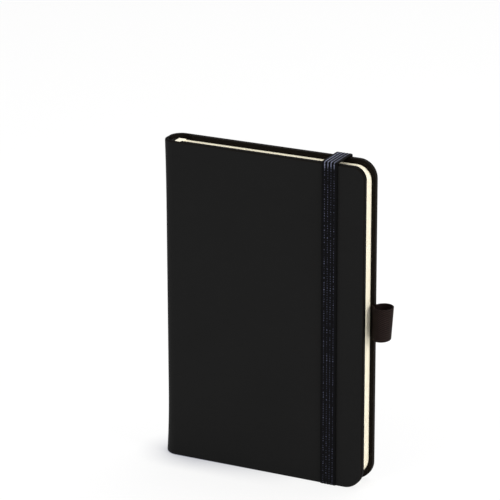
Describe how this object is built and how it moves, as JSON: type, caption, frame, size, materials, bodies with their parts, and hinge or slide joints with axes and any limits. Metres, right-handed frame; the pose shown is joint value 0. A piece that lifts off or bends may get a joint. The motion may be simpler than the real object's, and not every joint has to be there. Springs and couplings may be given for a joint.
{
  "type": "pocket notebook",
  "caption": "Upright pocket notebook with hinged soft-touch covers, sewn signatures that fan out, an elastic closure band and a fabric pen loop.",
  "frame": {"origin": "centre of the footprint at the tail edges on which the notebook stands", "axes": "+X from the spine to the fore edge, +Y from the front cover to the back cover, +Z from tail to head"},
  "size_m": [0.1032, 0.0162, 0.1444],
  "materials": {
    "cover_skin": "soft matte with a fine grain",
    "board": "dull grey-brown board",
    "paper": "smooth uncoated ivory",
    "endpaper": "smooth heavy ivory",
    "lining": "open weave",
    "thread": "waxed twine",
    "band_elastic": "ribbed woven elastic",
    "loop_elastic": "fine twill elastic"
  },
  "bodies": {
    "spine": {"spine_skin": "cover_skin", "spine_strip": "board", "spine_lining": "lining", "sewn_back": "paper", "sewing_thread_1": "thread", "sewing_thread_2": "thread", "sewing_thread_3": "thread", "sewing_thread_4": "thread"},
    "front_cover": {"front_skin": "cover_skin", "front_board": "board", "front_pastedown": "endpaper"},
    "back_cover": {"back_skin": "cover_skin", "back_board": "board", "back_pastedown": "endpaper", "band_anchor_upper": "band_elastic", "band_anchor_lower": "band_elastic", "pen_loop_tab": "loop_elastic"},
    "elastic_band": {"elastic_band": "band_elastic"},
    "pen_loop": {"pen_loop": "loop_elastic"},
    "signature_01": {"signature_01": "paper", "front_flyleaf": "endpaper"},
    "signature_02": {"signature_02": "paper"},
    "signature_03": {"signature_03": "paper"},
    "signature_04": {"signature_04": "paper"},
    "signature_05": {"signature_05": "paper"},
    "signature_06": {"signature_06": "paper"},
    "signature_07": {"signature_07": "paper"},
    "signature_08": {"signature_08": "paper"},
    "signature_09": {"signature_09": "paper"},
    "signature_10": {"signature_10": "paper"},
    "signature_11": {"signature_11": "paper"},
    "signature_12": {"signature_12": "paper", "back_flyleaf": "endpaper"}
  },
  "joints": [
    {"name": "front_cover_hinge", "type": "hinge", "parent": "spine", "child": "front_cover", "pos_m": [-0.04612, -0.00743, 0], "axis": [0, 0, -1], "range_deg": [0, 180]},
    {"name": "back_cover_hinge", "type": "hinge", "parent": "spine", "child": "back_cover", "pos_m": [-0.04612, 0.00668, 0], "axis": [0, 0, 1], "range_deg": [0, 180]},
    {"name": "elastic_band_hinge", "type": "hinge", "parent": "back_cover", "child": "elastic_band", "pos_m": [0.02712, 0.00703, 0], "axis": [0, 0, 1], "range_deg": [0, 180], "deforming": ["elastic_band"]},
    {"name": "pen_loop_hinge", "type": "hinge", "parent": "back_cover", "child": "pen_loop", "pos_m": [0.04302, 0.00434, 0.0733], "axis": [0, 0, 1], "range_deg": [-35, 20]},
    {"name": "signature_01_turn", "type": "hinge", "parent": "spine", "child": "signature_01", "pos_m": [-0.04538, -0.00453, 0], "axis": [0, 0, -1], "range_deg": [0, 83]},
    {"name": "signature_02_turn", "type": "hinge", "parent": "spine", "child": "signature_02", "pos_m": [-0.04538, -0.00367, 0], "axis": [0, 0, -1], "range_deg": [0, 69.5]},
    {"name": "signature_03_turn", "type": "hinge", "parent": "spine", "child": "signature_03", "pos_m": [-0.04538, -0.00301, 0], "axis": [0, 0, -1], "range_deg": [0, 55.1]},
    {"name": "signature_04_turn", "type": "hinge", "parent": "spine", "child": "signature_04", "pos_m": [-0.04538, -0.00235, 0], "axis": [0, 0, -1], "range_deg": [0, 40.7]},
    {"name": "signature_05_turn", "type": "hinge", "parent": "spine", "child": "signature_05", "pos_m": [-0.04538, -0.00169, 0], "axis": [0, 0, -1], "range_deg": [0, 27.2]},
    {"name": "signature_06_turn", "type": "hinge", "parent": "spine", "child": "signature_06", "pos_m": [-0.04538, -0.00103, 0], "axis": [0, 0, -1], "range_deg": [0, 12.8]},
    {"name": "signature_07_turn", "type": "hinge", "parent": "spine", "child": "signature_07", "pos_m": [-0.04538, 0.00028, 0], "axis": [0, 0, 1], "range_deg": [0, 12.8]},
    {"name": "signature_08_turn", "type": "hinge", "parent": "spine", "child": "signature_08", "pos_m": [-0.04538, 0.00094, 0], "axis": [0, 0, 1], "range_deg": [0, 27.2]},
    {"name": "signature_09_turn", "type": "hinge", "parent": "spine", "child": "signature_09", "pos_m": [-0.04538, 0.00161, 0], "axis": [0, 0, 1], "range_deg": [0, 40.7]},
    {"name": "signature_10_turn", "type": "hinge", "parent": "spine", "child": "signature_10", "pos_m": [-0.04538, 0.00227, 0], "axis": [0, 0, 1], "range_deg": [0, 55.1]},
    {"name": "signature_11_turn", "type": "hinge", "parent": "spine", "child": "signature_11", "pos_m": [-0.04538, 0.00293, 0], "axis": [0, 0, 1], "range_deg": [0, 69.5]},
    {"name": "signature_12_turn", "type": "hinge", "parent": "spine", "child": "signature_12", "pos_m": [-0.04538, 0.00379, 0], "axis": [0, 0, 1], "range_deg": [0, 83]}
  ],
  "couplings": [
    {"joint": "signature_01_turn", "follows": "front_cover_hinge", "ratio": 0.45},
    {"joint": "signature_02_turn", "follows": "front_cover_hinge", "ratio": 0.375},
    {"joint": "signature_03_turn", "follows": "front_cover_hinge", "ratio": 0.295},
    {"joint": "signature_04_turn", "follows": "front_cover_hinge", "ratio": 0.215},
    {"joint": "signature_05_turn", "follows": "front_cover_hinge", "ratio": 0.14},
    {"joint": "signature_06_turn", "follows": "front_cover_hinge", "ratio": 0.06},
    {"joint": "signature_07_turn", "follows": "back_cover_hinge", "ratio": 0.06},
    {"joint": "signature_08_turn", "follows": "back_cover_hinge", "ratio": 0.14},
    {"joint": "signature_09_turn", "follows": "back_cover_hinge", "ratio": 0.215},
    {"joint": "signature_10_turn", "follows": "back_cover_hinge", "ratio": 0.295},
    {"joint": "signature_11_turn", "follows": "back_cover_hinge", "ratio": 0.375},
    {"joint": "signature_12_turn", "follows": "back_cover_hinge", "ratio": 0.45}
  ]
}
